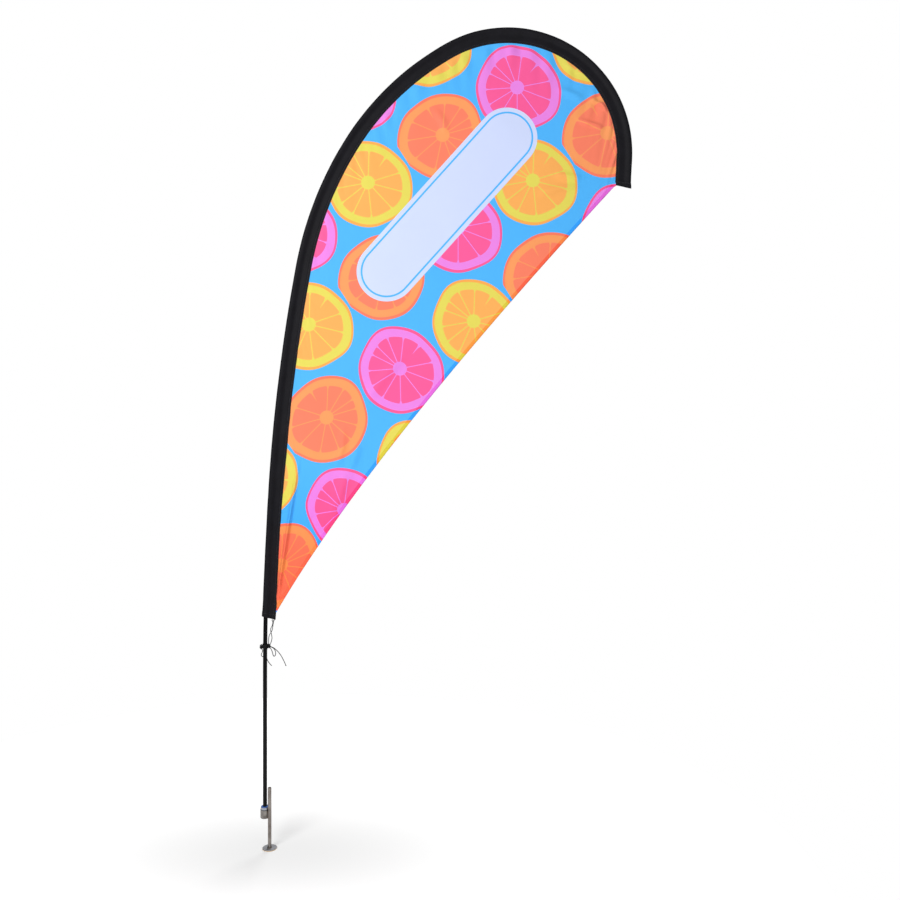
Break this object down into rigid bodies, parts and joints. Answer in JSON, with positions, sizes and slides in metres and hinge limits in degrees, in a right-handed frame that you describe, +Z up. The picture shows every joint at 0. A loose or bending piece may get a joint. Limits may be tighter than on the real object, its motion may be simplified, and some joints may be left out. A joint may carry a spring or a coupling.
{
  "type": "teardrop flag",
  "caption": "Teardrop flag: a printed cloth panel with a black pole sleeve on a bent sectional pole, which swivels on ball bearings in a ground spike with a foot disc.",
  "frame": {"origin": "axis of the ground spike's bar at ground level, in the plane of the foot disc's underside", "axes": "+Z up along the bar, +X the side that the flag spreads to, +Y across the flag, away from its front"},
  "size_m": [1.2671, 0.0509, 3.1572],
  "materials": {
    "spike_steel": "drawn bar, zinc plated",
    "zinc_steel": "zinc plated, yellow at the rim",
    "weld_steel": "weld bead",
    "housing_steel": "turned",
    "bearing_steel": "ground",
    "spring_steel": "black oxide",
    "cage_brass": "machined",
    "spindle_aluminium": "turned and polished",
    "blue_plastic": "moulded",
    "pole_composite": "semi-gloss composite",
    "black_rubber": "matte",
    "tie_cord": "braided elastic cord",
    "webbing": "woven webbing",
    "sleeve_cloth": "woven polyester, stitched",
    "printed_polyester": "printed knitted polyester"
  },
  "bodies": {
    "ground_spike": {"spike_bar": "spike_steel", "foot_disc": "zinc_steel", "disc_weld": "weld_steel", "bearing_housing": "housing_steel", "housing_welds": "weld_steel", "upper_outer_race": "bearing_steel", "lower_outer_race": "bearing_steel", "bearing_shields": "bearing_steel", "outer_spacer": "housing_steel", "housing_snap_ring": "spring_steel", "housing_cap": "housing_steel"},
    "upper_cage": {"upper_balls": "bearing_steel", "upper_ball_cage": "cage_brass"},
    "lower_cage": {"lower_balls": "bearing_steel", "lower_ball_cage": "cage_brass"},
    "spindle": {"spindle": "spindle_aluminium", "upper_inner_race": "bearing_steel", "lower_inner_race": "bearing_steel", "inner_spacer": "housing_steel", "shaft_circlip": "spring_steel", "pole_washer": "blue_plastic"},
    "lower_pole": {"lower_pole_tube": "pole_composite", "lower_ferrule": "spindle_aluminium", "tie_wrap": "tie_cord", "tie_knot": "tie_cord", "tie_cord": "tie_cord", "tie_loop_right": "tie_cord", "tie_loop_left": "tie_cord", "tie_tail_long": "tie_cord", "tie_tail_short": "tie_cord"},
    "flag": {"second_pole_tube": "pole_composite", "middle_ferrule": "spindle_aluminium", "third_pole_tube": "pole_composite", "upper_ferrule": "spindle_aluminium", "tip_pole_tube": "pole_composite", "tip_cap": "black_rubber", "tip_pocket": "webbing", "pole_sleeve": "sleeve_cloth", "flag_panel": "printed_polyester", "cord_tab": "webbing"}
  },
  "joints": [
    {"name": "spindle_spin", "type": "hinge", "parent": "ground_spike", "child": "spindle", "pos_m": [-0.01823, 0.01139, 0.129], "axis": [0, 0, 1], "continuous": true},
    {"name": "upper_cage_spin", "type": "hinge", "parent": "ground_spike", "child": "upper_cage", "pos_m": [-0.01823, 0.01139, 0.123], "axis": [0, 0, 1], "continuous": true},
    {"name": "lower_cage_spin", "type": "hinge", "parent": "ground_spike", "child": "lower_cage", "pos_m": [-0.01823, 0.01139, 0.111], "axis": [0, 0, 1], "continuous": true},
    {"name": "pole_lift", "type": "slide", "parent": "spindle", "child": "lower_pole", "axis": [0, 0, 1], "range_m": [0, 0.125]},
    {"name": "flag_lift", "type": "slide", "parent": "lower_pole", "child": "flag", "axis": [0.0489, 0, 0.9988], "range_m": [0, 0.1], "deforming": ["tie_cord"]}
  ],
  "couplings": [
    {"joint": "upper_cage_spin", "follows": "spindle_spin", "ratio": 0.3678},
    {"joint": "lower_cage_spin", "follows": "spindle_spin", "ratio": 0.3678}
  ]
}
